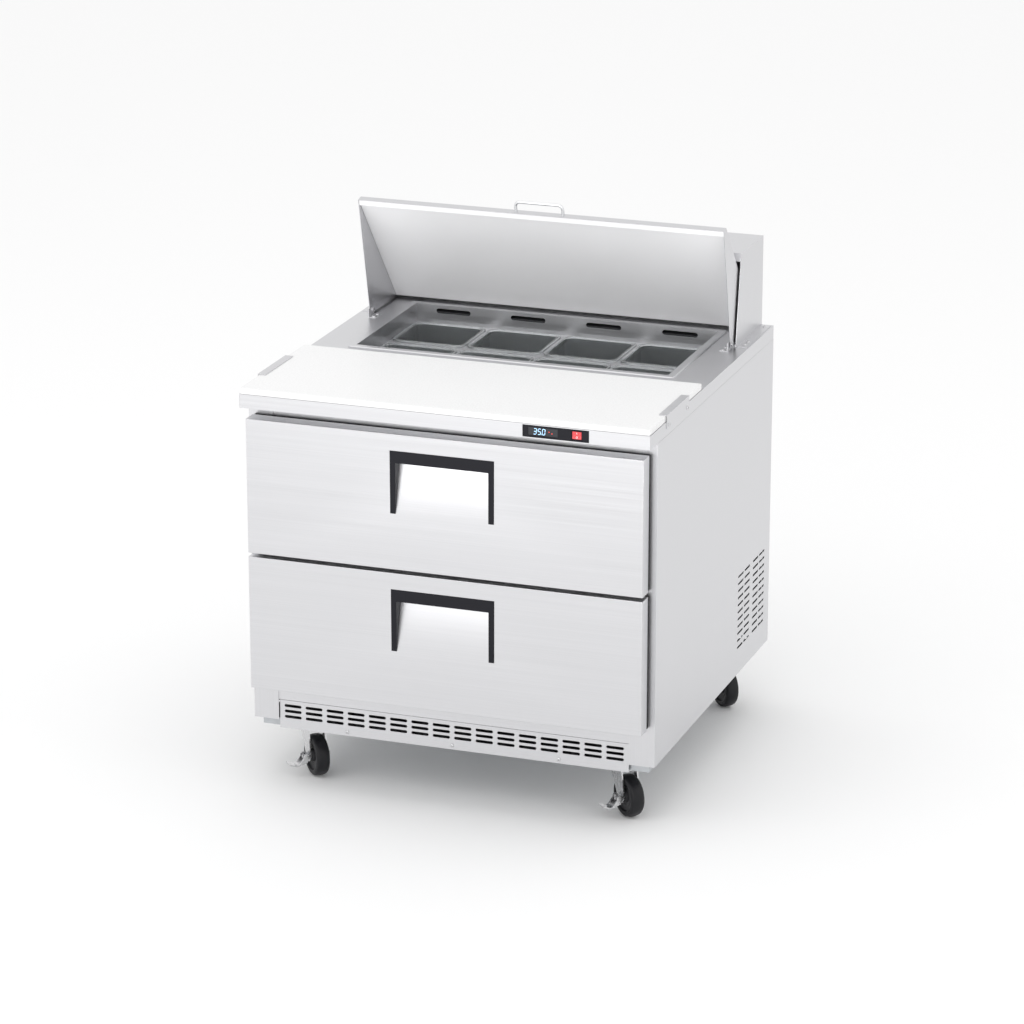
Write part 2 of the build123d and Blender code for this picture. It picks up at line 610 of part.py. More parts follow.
BRACKET_GAP = 0.9
EAR_THICK = 2.0
PIN_HEAD = (5.0, 2.5)
with BuildPart() as pivot_brackets:
    for side in LEFT_AND_RIGHT:
        ear = side * (LID_HALF - LID_SKIN - BRACKET_GAP)
        foot = (PIVOT_Y - 22.0, PIVOT_Y + 10.0)
        slab(sorted((ear, ear - side * EAR_THICK)), foot, (WORKTOP_Z, PIVOT_Z + 7.0))
        slab(sorted((ear, ear - side * 19.0)), foot, (WORKTOP_Z, WORKTOP_Z + SHEET))
    rod(Plane((-SIDE, PIVOT_Y, PIVOT_Z), z_dir=(1, 0, 0)), PIN_RADIUS + 0.02, 2 * SIDE,
        mode=Mode.SUBTRACT)
    screw_holes(bracket_screws)
save(pivot_brackets, "pivot_brackets")

with BuildPart() as pivot_pins:
    for side in LEFT_AND_RIGHT:
        inner_end = LID_HALF - LID_SKIN - BRACKET_GAP - EAR_THICK
        start = Plane((side * inner_end, PIVOT_Y, PIVOT_Z), z_dir=(side, 0, 0))
        rod(start, PIN_HEAD[0], -PIN_HEAD[1])
        rod(start, PIN_RADIUS, LID_HALF + 0.3 - inner_end)
        rod(start.offset(LID_HALF + 0.3 - inner_end), PIN_HEAD[0], PIN_HEAD[1])
save(pivot_pins, "pivot_pins")


# ---- drawers --------------------------------------------------------------------------
BAR_THICK = 7.0
RECESS_FLAT = 16.0        # full-depth stretch at the top of the recess
GASKET_INSET = 6.0
GASKET_WIDTH = 26.0
CHANNEL_WALL = 1.6


def recess_side(bottom, top):
    """Side outline of the finger recess behind a handle, flush at the bottom."""
    return [(FRONT - 1, bottom), (FRONT, bottom), (FRONT + RECESS_DEPTH, top - RECESS_FLAT),
            (FRONT + RECESS_DEPTH, top), (FRONT - 1, top)]


def make_drawer_front(top):
    """The stainless front, an open-backed pan with a formed finger recess."""
    handle_top = top - HANDLE_DROP
    bottom = handle_top - HANDLE_HEIGHT
    with BuildPart() as front:
        slab((-DRAWER_HALF, DRAWER_HALF), (FRONT, FRONT + DRAWER_THICK - DRAWER_BACK),
             (top - DRAWER_HEIGHT, top))
        fillet(front.faces().sort_by(Axis.Y)[0].edges(), 1.0)
        slab((-DRAWER_HALF + SKIN, DRAWER_HALF - SKIN),
             (FRONT + SKIN, FRONT + DRAWER_THICK),
             (top - DRAWER_HEIGHT + SKIN, top - SKIN), mode=Mode.SUBTRACT)
        prism(Plane.YZ.offset(-HANDLE_HALF - SKIN),
              [(FRONT + SKIN / 2, bottom - 3 * SKIN),
               (FRONT + RECESS_DEPTH + SKIN, handle_top - RECESS_FLAT - SKIN),
               (FRONT + RECESS_DEPTH + SKIN, handle_top + SKIN),
               (FRONT + SKIN / 2, handle_top + SKIN)], 2 * (HANDLE_HALF + SKIN))
        prism(Plane.YZ.offset(-HANDLE_HALF),
              recess_side(bottom, handle_top), 2 * HANDLE_HALF,
              mode=Mode.SUBTRACT)
    return front


def make_drawer_handle(top):
    """Black frame of bar and two cheeks that lines three sides of the recess."""
    handle_top = top - HANDLE_DROP
    bottom = handle_top - HANDLE_HEIGHT
    cheek = [(FRONT - HANDLE_PROUD, bottom + FIT), (FRONT - FIT, bottom + FIT),
             (FRONT + RECESS_DEPTH - 2 * FIT, handle_top - RECESS_FLAT + 2 * FIT),
             (FRONT + RECESS_DEPTH - 2 * FIT, handle_top - FIT),
             (FRONT - HANDLE_PROUD, handle_top - FIT)]
    with BuildPart() as handle:
        for side in LEFT_AND_RIGHT:
            start = side * (HANDLE_HALF - FIT) - (HANDLE_LEG if side > 0 else 0)
            prism(Plane.YZ.offset(start), cheek, HANDLE_LEG)
        slab((-HANDLE_HALF + FIT, HANDLE_HALF - FIT), (FRONT - HANDLE_PROUD, FRONT + BAR_THICK),
             (handle_top - HANDLE_BAR, handle_top - FIT))
    return handle


def make_gasket(top):
    """Magnetic door gasket, a hollow frame behind the drawer front."""
    y = (FRONT + DRAWER_THICK, FACE - FIT)
    inner = GASKET_INSET + GASKET_WIDTH
    with BuildPart() as gasket:
        slab((-DRAWER_HALF + GASKET_INSET, DRAWER_HALF - GASKET_INSET), y,
             (top - DRAWER_HEIGHT + GASKET_INSET, top - GASKET_INSET))
        slab((-DRAWER_HALF + inner, DRAWER_HALF - inner), (y[0] - 1, y[1] + 1),
             (top - DRAWER_HEIGHT + inner, top - inner), mode=Mode.SUBTRACT)
    return gasket


def slide_z(top):
    """Lower and upper edge of a drawer's slides."""
    return (top - SLIDE_DROP - SLIDE_HEIGHT, top - SLIDE_DROP)


def make_drawer_frame(top):
    """Inner panel of the front with the open tray behind it and a runner on each side."""
    floor = top - TRAY_DROP
    y = (FRONT + DRAWER_THICK, FRONT + DRAWER_THICK + TRAY_DEPTH)
    z = slide_z(top)
    with BuildPart() as tray:
        slab((-TRAY_HALF, TRAY_HALF), y, (floor, floor + TRAY_HEIGHT))
        slab((-TRAY_HALF + TRAY_SHEET, TRAY_HALF - TRAY_SHEET),
             (y[0] + TRAY_SHEET, y[1] - TRAY_SHEET),
             (floor + TRAY_SHEET, floor + TRAY_HEIGHT + 1), mode=Mode.SUBTRACT)
        slab((-DRAWER_HALF, DRAWER_HALF), (y[0] - DRAWER_BACK, y[0]),
             (top - DRAWER_HEIGHT, top))
        for side in LEFT_AND_RIGHT:
            slab(sorted((side * TRAY_HALF, side * (TRAY_HALF + 9.0))),
                 (y[0] + 14.0, y[0] + 14.0 + SLIDE_LENGTH), (z[0] + 14.0, z[1] - 14.0))
    return tray


def make_channel(inner, outer, z, y):
    """A pair of C-shaped slide members, open towards the drawer."""
    with BuildPart() as pair:
        for side in LEFT_AND_RIGHT:
            slab(sorted((side * inner, side * outer)), y, z)
            slab(sorted((side * (inner - 1), side * (outer - CHANNEL_WALL))),
                 (y[0] - 1, y[1] + 1), (z[0] + CHANNEL_WALL, z[1] - CHANNEL_WALL),
                 mode=Mode.SUBTRACT)
    return pair


SLIDE_Y = (FACE + 14.0, FACE + 14.0 + SLIDE_LENGTH)
for level, drawer_top in DRAWER_TOPS.items():
    low, high = slide_z(drawer_top)
    save(make_drawer_front(drawer_top), f"drawer_front_{level}")
    save(make_drawer_handle(drawer_top), f"drawer_handle_{level}")
    save(make_gasket(drawer_top), f"drawer_gasket_{level}")
    save(make_drawer_frame(drawer_top), f"drawer_frame_{level}")
    save(make_channel(TRAY_HALF + 1.0, TRAY_HALF + 19.0, (low + 6.0, high - 6.0), SLIDE_Y),
         f"slide_middle_{level}")

with BuildPart() as slide_rails:
    for drawer_top in DRAWER_TOPS.values():
        rails = make_channel(TRAY_HALF + 9.5, LINER_HALF - FIT, slide_z(drawer_top), SLIDE_Y)
        add(rails.part)
save(slide_rails, "slide_rails")


# ---- cooling machinery ----------------------------------------------------------------
def finned_block(x, y, z, fin_axis, count, core):
    """A tube-and-fin heat exchanger: a solid core with plate fins standing out of it."""
    slab(*[core_span if axis != fin_axis else span for axis, (core_span, span) in
           enumerate(zip(core, (x, y, z)))])
    span = (x, y, z)[fin_axis]
    pitch = (span[1] - span[0]) / count
    for index in range(count):
        start = span[0] + pitch * (index + 0.5)
        box = [x, y, z]
        box[fin_axis] = (start, start + FIN_THICK)
        slab(*box)


with BuildPart() as evaporator_coil:
    finned_block((-210.0, 210.0), (COIL_Y - 22.0, COIL_Y + 22.0), (455.0, 650.0), 0,
                 FIN_COUNT, ((-210.0, 210.0), (COIL_Y - 8.0, COIL_Y + 8.0), (461.0, 644.0)))
save(evaporator_coil, "evaporator_coil")

with BuildPart() as condenser_coil:
    finned_block((392.0, 430.0), (FRONT + 672.0, FRONT + 858.0), (196.0, 376.0), 2,
                 FIN_COUNT, ((398.0, 424.0), (FRONT + 678.0, FRONT + 852.0), (196.0, 376.0)))
save(condenser_coil, "condenser_coil")

FAN_RADIUS = 76.0
FAN_SHAFT = 3.0
MOTOR_RADIUS = 30.0
MOTOR_LENGTH = 36.0
MOTOR_DROP = 12.0         # motor face behind the middle of the blades
ARM_WIDTH = 12.0


def fan_plane(centre, direction):
    """A fan's plane, its normal along the shaft away from the motor."""
    return Plane(centre, x_dir=(0, 0, 1), z_dir=direction)


FAN_PLANES = {
    "evaporator_fan": fan_plane(EVAPORATOR_FAN, (0, -1, 0)),
    "condenser_fan": fan_plane(CONDENSER_FAN, (1, 0, 0)),
}
BLADES = 5


def make_fan(plane):
    """A hub with five pitched blades."""
    with BuildPart() as fan:
        rod(plane.offset(-7.0), 17.0, 14.0)
        for index in range(BLADES):
            blade = Plane(plane.location * Location((0, 0, 0), (0, 0, index * 360.0 / BLADES))
                          * Location((14.0, 0, 0), (28.0, 0, 0)))
            with BuildSketch(blade) as outline:
                with BuildLine():
                    Polyline((0, -9.0), (0, 9.0), (58.0, 24.0), (61.0, -12.0), close=True)
                make_face()
            extrude(outline.sketch, amount=0.8, both=True)
        rod(plane.offset(-MOTOR_DROP), FAN_SHAFT + 0.05, 2 * MOTOR_DROP, mode=Mode.SUBTRACT)
    return fan


for fan_name, plane in FAN_PLANES.items():
    save(make_fan(plane), fan_name)

with BuildPart() as fan_motors:
    for plane in FAN_PLANES.values():
        rod(plane.offset(-MOTOR_DROP), MOTOR_RADIUS, -MOTOR_LENGTH)
        rod(plane.offset(-MOTOR_DROP), FAN_SHAFT, 21.0)
        with BuildSketch(plane.offset(-20.0)) as arms:
            Rectangle(2 * (FAN_RADIUS + ARM_WIDTH), ARM_WIDTH)
            Rectangle(ARM_WIDTH, 2 * (FAN_RADIUS + ARM_WIDTH))
        extrude(arms.sketch, amount=-3.0)
save(fan_motors, "fan_motors")

COMPRESSOR = (-150.0, FRONT + 765.0)
COMPRESSOR_RADIUS = 62.0
COMPRESSOR_FEET = (150.0, 100.0)
FOOT_HEIGHT = 14.0
with BuildPart() as compressor:
    stand = Plane((COMPRESSOR[0], COMPRESSOR[1], PANEL_BOTTOM))
    with BuildSketch(stand) as feet:
        with GridLocations(*COMPRESSOR_FEET, 2, 2):
            Circle(11.0)
    extrude(feet.sketch, amount=FOOT_HEIGHT + 0.5)
    with BuildSketch(stand.offset(FOOT_HEIGHT)) as plate:
        RectangleRounded(184.0, 130.0, 14.0)
    extrude(plate.sketch, amount=3.0)
    rod(stand.offset(FOOT_HEIGHT + 2.0), COMPRESSOR_RADIUS, 128.0)
    fillet(compressor.edges().filter_by(GeomType.CIRCLE).sort_by(Axis.Z)[-1], 34.0)
save(compressor, "compressor")


# ---- casters --------------------------------------------------------------------------
PLATE_HALF = (47.0, 37.0)
PLATE_THICK = 3.0
RACE_BOTTOM = SWIVEL_HEIGHT + 12.0
KINGPIN = 6.0
AXLE = 4.0
HUB_BORE = AXLE + 0.05
NUT_THICK = 5.0           # stops short of the brake lever's cross pin
AXLE_END = 9.0            # axle bolt beyond the fork's leg
BRAKE_AXLE_END = 14.0     # longer end that carries the brake lever's cross pin
CROWN_RADIUS = 27.0
CROWN_HEIGHT = 11.7       # just short of the ball race above it


def caster_frame(x, y, heading):
    """Floor plane under a caster's swivel axis, local x towards the wheel."""
    return Plane(Location((x, y, 0), (0, 0, heading)))


with BuildPart() as caster_plates:
    for x, y, heading in CASTERS.values():
        slab((x - PLATE_HALF[0], x + PLATE_HALF[0]), (y - PLATE_HALF[1], y + PLATE_HALF[1]),
             (PLATE_TOP - PLATE_THICK, PLATE_TOP))
        rod(Plane((x, y, RACE_BOTTOM)), 26.0, PLATE_TOP - PLATE_THICK - RACE_BOTTOM)
        rod(Plane((x, y, SWIVEL_HEIGHT - 8.0)), KINGPIN, PLATE_TOP - SWIVEL_HEIGHT)
        for dx in (-37.0, 37.0):
            for dy in (-27.0, 27.0):
                bolt = Plane((x + dx, y + dy, PLATE_TOP - PLATE_THICK))
                with BuildSketch(bolt) as hexagon:
                    RegularPolygon(6.5, 6)
                extrude(hexagon.sketch, amount=-4.5)
save(caster_plates, "caster_plates")

LEG_Y = WHEEL_WIDTH / 2 + FORK_GAP
PEDAL_PIVOT = LEG_Y + FORK_SHEET + 8.0
LUG_INNER = 9.0
LUG_THICK = 2.5
PEDAL_WIDTH = 2 * (LUG_INNER + LUG_THICK)


def side_view(x, y=0.0, z=0.0):
    """A plane across a caster, its own axes pointing along +Y and +Z."""
    return Plane((x, y, z), x_dir=(0, 1, 0), z_dir=(1, 0, 0))


def make_fork(frame, braked):
    """Swivel crown, two legs raked back to the axle, and the axle bolt with its nuts."""
    with BuildPart() as fork:
        crown = frame.offset(SWIVEL_HEIGHT)
        rod(crown, CROWN_RADIUS, CROWN_HEIGHT)
        with BuildSketch(crown) as bridge:
            with Locations((6.0, 0)):
                RectangleRounded(52.0, 2 * (LEG_Y + FORK_SHEET), 8.0)
        extrude(bridge.sketch, amount=-FORK_SHEET)
        for start in (LEG_Y + FORK_SHEET, -LEG_Y):
            side = carried(frame, Plane.XZ.offset(-start))
            with BuildSketch(side) as leg:
                with BuildLine():
                    Polyline((-19.0, SWIVEL_HEIGHT), (31.0, SWIVEL_HEIGHT),
                             (TRAIL + 13.0, WHEEL_RADIUS), (TRAIL - 11.0, WHEEL_RADIUS - 8.0),
                             close=True)
                make_face()
                with Locations((TRAIL, WHEEL_RADIUS)):
                    Circle(13.0)
            extrude(leg.sketch, amount=FORK_SHEET)
        rod(frame.offset(SWIVEL_HEIGHT - FORK_SHEET - 1), KINGPIN + 0.05, 20.0,
            mode=Mode.SUBTRACT)
        axle = carried(frame, Plane((TRAIL, LEG_Y + FORK_SHEET + AXLE_END, WHEEL_RADIUS),
                                    z_dir=(0, -1, 0)))
        far_end = BRAKE_AXLE_END if braked else AXLE_END
        rod(axle, AXLE, 2 * (LEG_Y + FORK_SHEET) + AXLE_END + far_end)
        for offset in (AXLE_END - NUT_THICK, 2 * (LEG_Y + FORK_SHEET) + AXLE_END):
            with BuildSketch(axle.offset(offset)) as nut:
                RegularPolygon(7.5, 6)
            extrude(nut.sketch, amount=NUT_THICK)
        if braked:
            pin = carried(frame, side_view(TRAIL - LUG_INNER - LUG_THICK, -PEDAL_PIVOT,
                                           WHEEL_RADIUS))
            rod(pin, 2.0, PEDAL_WIDTH)
    return fork


def make_wheel(frame):
    """A moulded wheel with a crowned tread and recessed faces."""
    middle = carried(frame, Plane((TRAIL, 0, WHEEL_RADIUS), z_dir=(0, -1, 0)))
    with BuildPart() as wheel:
        with BuildSketch(middle) as disc:
            Circle(WHEEL_RADIUS)
        extrude(disc.sketch, amount=WHEEL_WIDTH / 2, both=True)
        fillet(wheel.edges(), 6.0)
        for face in (middle.offset(WHEEL_WIDTH / 2), middle.offset(-WHEEL_WIDTH / 2)):
            inward = -1 if face.origin == middle.offset(WHEEL_WIDTH / 2).origin else 1
            with BuildSketch(face) as dish:
                Circle(33.0)
                Circle(14.0, mode=Mode.SUBTRACT)
            extrude(dish.sketch, amount=inward * 7.0, mode=Mode.SUBTRACT)
        rod(middle.offset(-WHEEL_WIDTH), HUB_BORE, 2 * WHEEL_WIDTH, mode=Mode.SUBTRACT)
    return wheel


def make_brake(frame):
    """Foot lever on two lugs beside the axle nut, bent down and then up to its tip."""
    start = TRAIL - LUG_INNER - LUG_THICK
    with BuildPart() as brake:
        for lug_x in (start, TRAIL + LUG_INNER):
            with BuildSketch(carried(frame, side_view(lug_x))) as lug:
                with Locations((-PEDAL_PIVOT, WHEEL_RADIUS)):
                    Circle(7.0)
                with BuildLine():
                    Polyline((-PEDAL_PIVOT + 2.0, 33.5), (-PEDAL_PIVOT + 6.0, WHEEL_RADIUS),
                             (-PEDAL_PIVOT - 6.0, WHEEL_RADIUS), (-PEDAL_PIVOT - 18.0, 30.0),
                             close=True)
                make_face()
            extrude(lug.sketch, amount=LUG_THICK)
        prism(carried(frame, side_view(start)),
              [(-PEDAL_PIVOT + 2.0, 36.0), (-PEDAL_PIVOT + 2.0, 33.5),
               (-PEDAL_PIVOT - 22.0, 27.0), (-PEDAL_PIVOT - 40.0, 33.0),
               (-PEDAL_PIVOT - 40.0, 36.0), (-PEDAL_PIVOT - 22.0, 30.0)], PEDAL_WIDTH)
        rod(carried(frame, side_view(start - 1, -PEDAL_PIVOT, WHEEL_RADIUS)), 2.05,
            PEDAL_WIDTH + 2, mode=Mode.SUBTRACT)
    return brake


for place, pose in CASTERS.items():
    frame = caster_frame(*pose)
    braked = place.startswith("front")
    save(make_fork(frame, braked), f"caster_fork_{place}")
    save(make_wheel(frame), f"caster_wheel_{place}")
    if braked:
        save(make_brake(frame), f"caster_brake_{place}")
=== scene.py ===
import json
import math

import bmesh
import bpy
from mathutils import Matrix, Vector


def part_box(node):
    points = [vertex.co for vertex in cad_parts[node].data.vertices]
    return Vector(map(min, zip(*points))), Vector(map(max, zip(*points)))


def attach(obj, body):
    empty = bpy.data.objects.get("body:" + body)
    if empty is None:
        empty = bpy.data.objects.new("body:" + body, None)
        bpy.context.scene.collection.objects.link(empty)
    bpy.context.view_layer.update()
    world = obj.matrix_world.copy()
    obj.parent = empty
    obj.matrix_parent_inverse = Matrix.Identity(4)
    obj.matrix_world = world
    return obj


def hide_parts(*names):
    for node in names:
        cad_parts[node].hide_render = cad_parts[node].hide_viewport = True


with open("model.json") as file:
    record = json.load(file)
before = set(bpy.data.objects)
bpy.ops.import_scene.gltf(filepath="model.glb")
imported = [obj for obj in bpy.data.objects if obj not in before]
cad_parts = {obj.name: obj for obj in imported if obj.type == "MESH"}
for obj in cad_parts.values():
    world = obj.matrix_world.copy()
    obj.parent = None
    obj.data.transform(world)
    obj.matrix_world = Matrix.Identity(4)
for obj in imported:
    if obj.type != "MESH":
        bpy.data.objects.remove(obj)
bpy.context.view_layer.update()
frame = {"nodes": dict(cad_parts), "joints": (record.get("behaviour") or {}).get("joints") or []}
nodes = frame["nodes"]
joints = {joint["name"]: joint for joint in frame["joints"]}
scene = bpy.context.scene

LEVELS = ("upper", "lower")
CASTERS = ("front_left", "front_right", "rear_left", "rear_right")
BRAKED = ("front_left", "front_right")
PANS = [f"pan_{row}_{column}" for row in ("front", "rear") for column in range(1, 5)]
MM = 0.001

# ---- camera, floor and light ----------------------------------------------------------
CAMERA_PLACE = (2.918, -8.193, 3.372)
CAMERA_YAW = 19.63        # degrees, turned to the left of straight ahead
CAMERA_PITCH = 18.08      # degrees, tipped down
CAMERA_LENS = 147.6       # mm
CAMERA_SENSOR = 36.0      # mm
FAR_LIMIT = 60.0          # metres, as are the places and sizes below
FLOOR_HALF = 30.0
FLOOR_SHADE = 0.96
WORLD_STRENGTH = 0.98
MIDDLE = (0, 0, 0.6)      # inside the cabinet
LAMPS = {                 # place, target, size, watts and spread in degrees
    "key": ((-2.6, -3.6, 4.2), MIDDLE, (3.0, 3.0), 22.0, 180.0),
    "side": ((4.6, -0.6, 2.6), MIDDLE, (2.4, 3.4), 10.0, 180.0),
    "top": ((0, -0.4, 4.8), MIDDLE, (4.0, 3.0), 16.0, 180.0),
    "front": ((-1.0, -5.0, 1.1), (0, 0, 1.0), (3.0, 1.6), 7.0, 180.0),
    "under_lid": ((0, -3.2, 1.0), (0, 0.27, 1.06), (2.4, 0.5), 2.8, 50.0),
}


def make_camera():
    """A long-lens camera above the front right corner."""
    lens = bpy.data.cameras.new("camera")
    lens.lens = CAMERA_LENS
    lens.sensor_width = CAMERA_SENSOR
    lens.clip_end = FAR_LIMIT
    camera = bpy.data.objects.new("camera", lens)
    camera.location = CAMERA_PLACE
    camera.rotation_euler = (math.radians(90.0 - CAMERA_PITCH), 0, math.radians(CAMERA_YAW))
    scene.collection.objects.link(camera)
    scene.camera = camera


def make_floor():
    """A plain pale floor, large enough to have no edge in any view."""
    mesh = bpy.data.meshes.new("floor")
    corners = [(x * FLOOR_HALF, y * FLOOR_HALF, 0)
               for x, y in ((-1, -1), (1, -1), (1, 1), (-1, 1))]
    mesh.from_pydata(corners, [], [(0, 1, 2, 3)])
    floor = bpy.data.objects.new("floor", mesh)
    scene.collection.objects.link(floor)
    material = bpy.data.materials.new("floor")
    material.use_nodes = True
    shader = material.node_tree.nodes["Principled BSDF"]
    shader.inputs["Base Color"].default_value = (FLOOR_SHADE,) * 3 + (1,)
    shader.inputs["Roughness"].default_value = 0.9
    shader.inputs["Specular IOR Level"].default_value = 0.1
    mesh.materials.append(material)


def make_light(name, place, target, size, watts, spread):
    """A soft rectangular lamp aimed at a point."""
    lamp = bpy.data.lights.new(name, "AREA")
    lamp.shape = "RECTANGLE"
    lamp.size, lamp.size_y = size
    lamp.energy = watts
    lamp.spread = math.radians(spread)
    light = bpy.data.objects.new(name, lamp)
    light.location = place
    aim = Vector(target) - Vector(place)
    light.rotation_euler = aim.to_track_quat("-Z", "Y").to_euler()
    scene.collection.objects.link(light)


def make_world():
    """An even, bright surround."""
    world = bpy.data.worlds.new("studio")
    world.use_nodes = True
    sky = world.node_tree.nodes["Background"]
    sky.inputs["Color"].default_value = (1.0, 1.0, 1.0, 1)
    sky.inputs["Strength"].default_value = WORLD_STRENGTH
    scene.world = world


def make_studio():
    """Camera, floor, lamps and surround."""
    make_camera()
    make_floor()
    make_world()
    for name, facts in LAMPS.items():
        make_light(name, *facts)
    scene.view_settings.view_transform = "Standard"


# ---- materials ------------------------------------------------------------------------
NOISE_LOW, NOISE_HIGH = 0.3, 0.7      # the part of the noise that carries the change
GRAIN_ALONG, GRAIN_ACROSS = 2.0, 700.0


def start_material(name, colour, metallic, roughness):
    """A named material with its constant values on the shader's own sockets."""
    material = bpy.data.materials.new(name)
    material.use_nodes = True
    tree = material.node_tree
    shader = tree.nodes["Principled BSDF"]
    shader.inputs["Base Color"].default_value = (*colour, 1)
    shader.inputs["Metallic"].default_value = metallic
    shader.inputs["Roughness"].default_value = roughness
    return material, tree, shader


def noise(tree, stretch, scale, detail=3.0):
    """Noise in the object's own coordinates, stretched by a factor along each axis."""
    coordinates = tree.nodes.new("ShaderNodeTexCoord")
    mapping = tree.nodes.new("ShaderNodeMapping")
    mapping.inputs["Scale"].default_value = stretch
    texture = tree.nodes.new("ShaderNodeTexNoise")
    texture.inputs["Scale"].default_value = scale
    texture.inputs["Detail"].default_value = detail
    tree.links.new(coordinates.outputs["Object"], mapping.inputs["Vector"])
    tree.links.new(mapping.outputs["Vector"], texture.inputs["Vector"])
    return texture.outputs["Fac"]


def spread(tree, value, low, high, target):
    """Drives a number socket from noise, between a low and a high value."""
    ramp = tree.nodes.new("ShaderNodeMapRange")
    ramp.inputs["From Min"].default_value = NOISE_LOW
    ramp.inputs["From Max"].default_value = NOISE_HIGH
    ramp.inputs["To Min"].default_value = low
    ramp.inputs["To Max"].default_value = high
    tree.links.new(value, ramp.inputs["Value"])
    tree.links.new(ramp.outputs["Result"], target)


def shade(colour, factor):
    """A colour made darker or lighter by a factor, none of it over one."""
    return tuple(min(1.0, factor * part) for part in colour)


def tint(tree, value, dark, light, target):
    """Drives a colour socket from noise, between two colours."""
    ramp = tree.nodes.new("ShaderNodeValToRGB")
    ramp.color_ramp.elements[0].position = NOISE_LOW
    ramp.color_ramp.elements[0].color = (*dark, 1)
    ramp.color_ramp.elements[1].position = NOISE_HIGH
    ramp.color_ramp.elements[1].color = (*light, 1)
    tree.links.new(value, ramp.inputs["Fac"])
    tree.links.new(ramp.outputs["Color"], target)


def bump(tree, value, depth, shader):
    """Raises the surface slightly by noise; depth is in metres."""
    relief = tree.nodes.new("ShaderNodeBump")
    relief.inputs["Distance"].default_value = depth
    relief.inputs["Strength"].default_value = 0.5
    tree.links.new(value, relief.inputs["Height"])
    tree.links.new(relief.outputs["Normal"], shader.inputs["Normal"])


def brushed_steel(name, grain, colour=(0.665, 0.665, 0.68), roughness=(0.30, 0.40)):
    """Stainless sheet; grain is the axis that the fine brush lines run along."""
    material, tree, shader = start_material(name, colour, 1.0, sum(roughness) / 2)
    stretch = [GRAIN_ALONG if axis == grain else GRAIN_ACROSS for axis in range(3)]
    lines = noise(tree, stretch, 1.0)
    spread(tree, lines, *roughness, shader.inputs["Roughness"])
    tint(tree, lines, shade(colour, 0.97), shade(colour, 1.02), shader.inputs["Base Color"])
    bump(tree, lines, 0.000006, shader)
    return material


def satin(name, colour, metallic, roughness):
    """Smooth satin sheet with a soft, part-diffuse sheen."""
    material, tree, shader = start_material(name, colour, metallic, sum(roughness) / 2)
    cloud = noise(tree, (1, 1, 1), 7.0, 4.0)
    spread(tree, cloud, *roughness, shader.inputs["Roughness"])
    tint(tree, cloud, shade(colour, 0.97), colour, shader.inputs["Base Color"])
    return material


def plain_metal(name, colour, roughness, scale=60.0):
    """Cast, plated or galvanised metal with a mottled finish."""
    material, tree, shader = start_material(name, colour, 1.0, sum(roughness) / 2)
    mottle = noise(tree, (1, 1, 1), scale, 5.0)
    spread(tree, mottle, *roughness, shader.inputs["Roughness"])
    tint(tree, mottle, shade(colour, 0.85), colour, shader.inputs["Base Color"])
    bump(tree, mottle, 0.00003, shader)
    return material


def moulded(name, colour, roughness, scale=900.0, depth=0.00002, coat=0.0, shine=0.5):
    """Moulded plastic or rubber with a fine texture."""
    material, tree, shader = start_material(name, colour, 0.0, sum(roughness) / 2)
    texture = noise(tree, (1, 1, 1), scale, 4.0)
    spread(tree, texture, *roughness, shader.inputs["Roughness"])
    light = tuple(min(1.0, 1.12 * part + 0.002) for part in colour)
    tint(tree, texture, colour, light, shader.inputs["Base Color"])
    bump(tree, texture, depth, shader)
    shader.inputs["Coat Weight"].default_value = coat
    shader.inputs["Specular IOR Level"].default_value = shine
    return material


def clear_plastic(name):
    """Clear polycarbonate with faint wear in its gloss."""
    material, tree, shader = start_material(name, (0.93, 0.96, 0.97), 0.0, 0.08)
    shader.inputs["Transmission Weight"].default_value = 0.92
    shader.inputs["IOR"].default_value = 1.58
    wear = noise(tree, (1, 1, 1), 45.0, 5.0)
    spread(tree, wear, 0.05, 0.16, shader.inputs["Roughness"])
    return material


def glowing(name, colour, strength):
    """A lit display element behind a tinted window."""
    material, tree, shader = start_material(name, colour, 0.0, 0.3)
    shader.inputs["Emission Color"].default_value = (*colour, 1)
    shader.inputs["Emission Strength"].default_value = strength
    grain = noise(tree, (1, 1, 1), 2000.0)
    spread(tree, grain, 0.25, 0.35, shader.inputs["Roughness"])
    return material


ACROSS, INWARD, UPRIGHT = 0, 1, 2
STEEL_ACROSS = brushed_steel("steel_across", ACROSS)
STEEL_INWARD = brushed_steel("steel_inward", INWARD)
STEEL_UPRIGHT = brushed_steel("steel_upright", UPRIGHT)
STEEL_BRIGHT = brushed_steel("steel_bright", ACROSS, (0.80, 0.81, 0.82), (0.22, 0.30))
LINING = satin("satin_lining", (0.95, 0.95, 0.96), 0.0, (0.42, 0.50))
ALUMINIUM = plain_metal("aluminium", (0.80, 0.81, 0.82), (0.30, 0.45))
GALVANISED = plain_metal("galvanised", (0.55, 0.57, 0.59), (0.35, 0.55), 35.0)
ZINC = plain_metal("zinc", (0.72, 0.72, 0.73), (0.18, 0.34), 120.0)
BLACK_PAINT = moulded("black_paint", (0.02, 0.02, 0.022), (0.25, 0.4), 400.0)
BLACK_PLASTIC = moulded("black_plastic", (0.008, 0.008, 0.012), (0.35, 0.48), shine=0.22)
GREY_PLASTIC = moulded("grey_plastic", (0.10, 0.11, 0.12), (0.4, 0.55))
RUBBER = moulded("rubber", (0.007, 0.007, 0.009), (0.32, 0.50), 700.0, 0.00004, shine=0.3)
GASKET = moulded("gasket", (0.010, 0.010, 0.013), (0.5, 0.7), 500.0, shine=0.2)
BOARD = moulded("board", (0.80, 0.80, 0.80), (0.38, 0.50), 300.0, 0.00003)
# The insulation's near-black colour is painted shade. It stands for the dark seen through the
# well's slots, and is not the foam's own colour.
FOAM_PAINTED_SHADE = moulded("foam", (0.035, 0.036, 0.040), (0.7, 0.9), 120.0, 0.0004)
CLEAR = clear_plastic("clear_plastic")
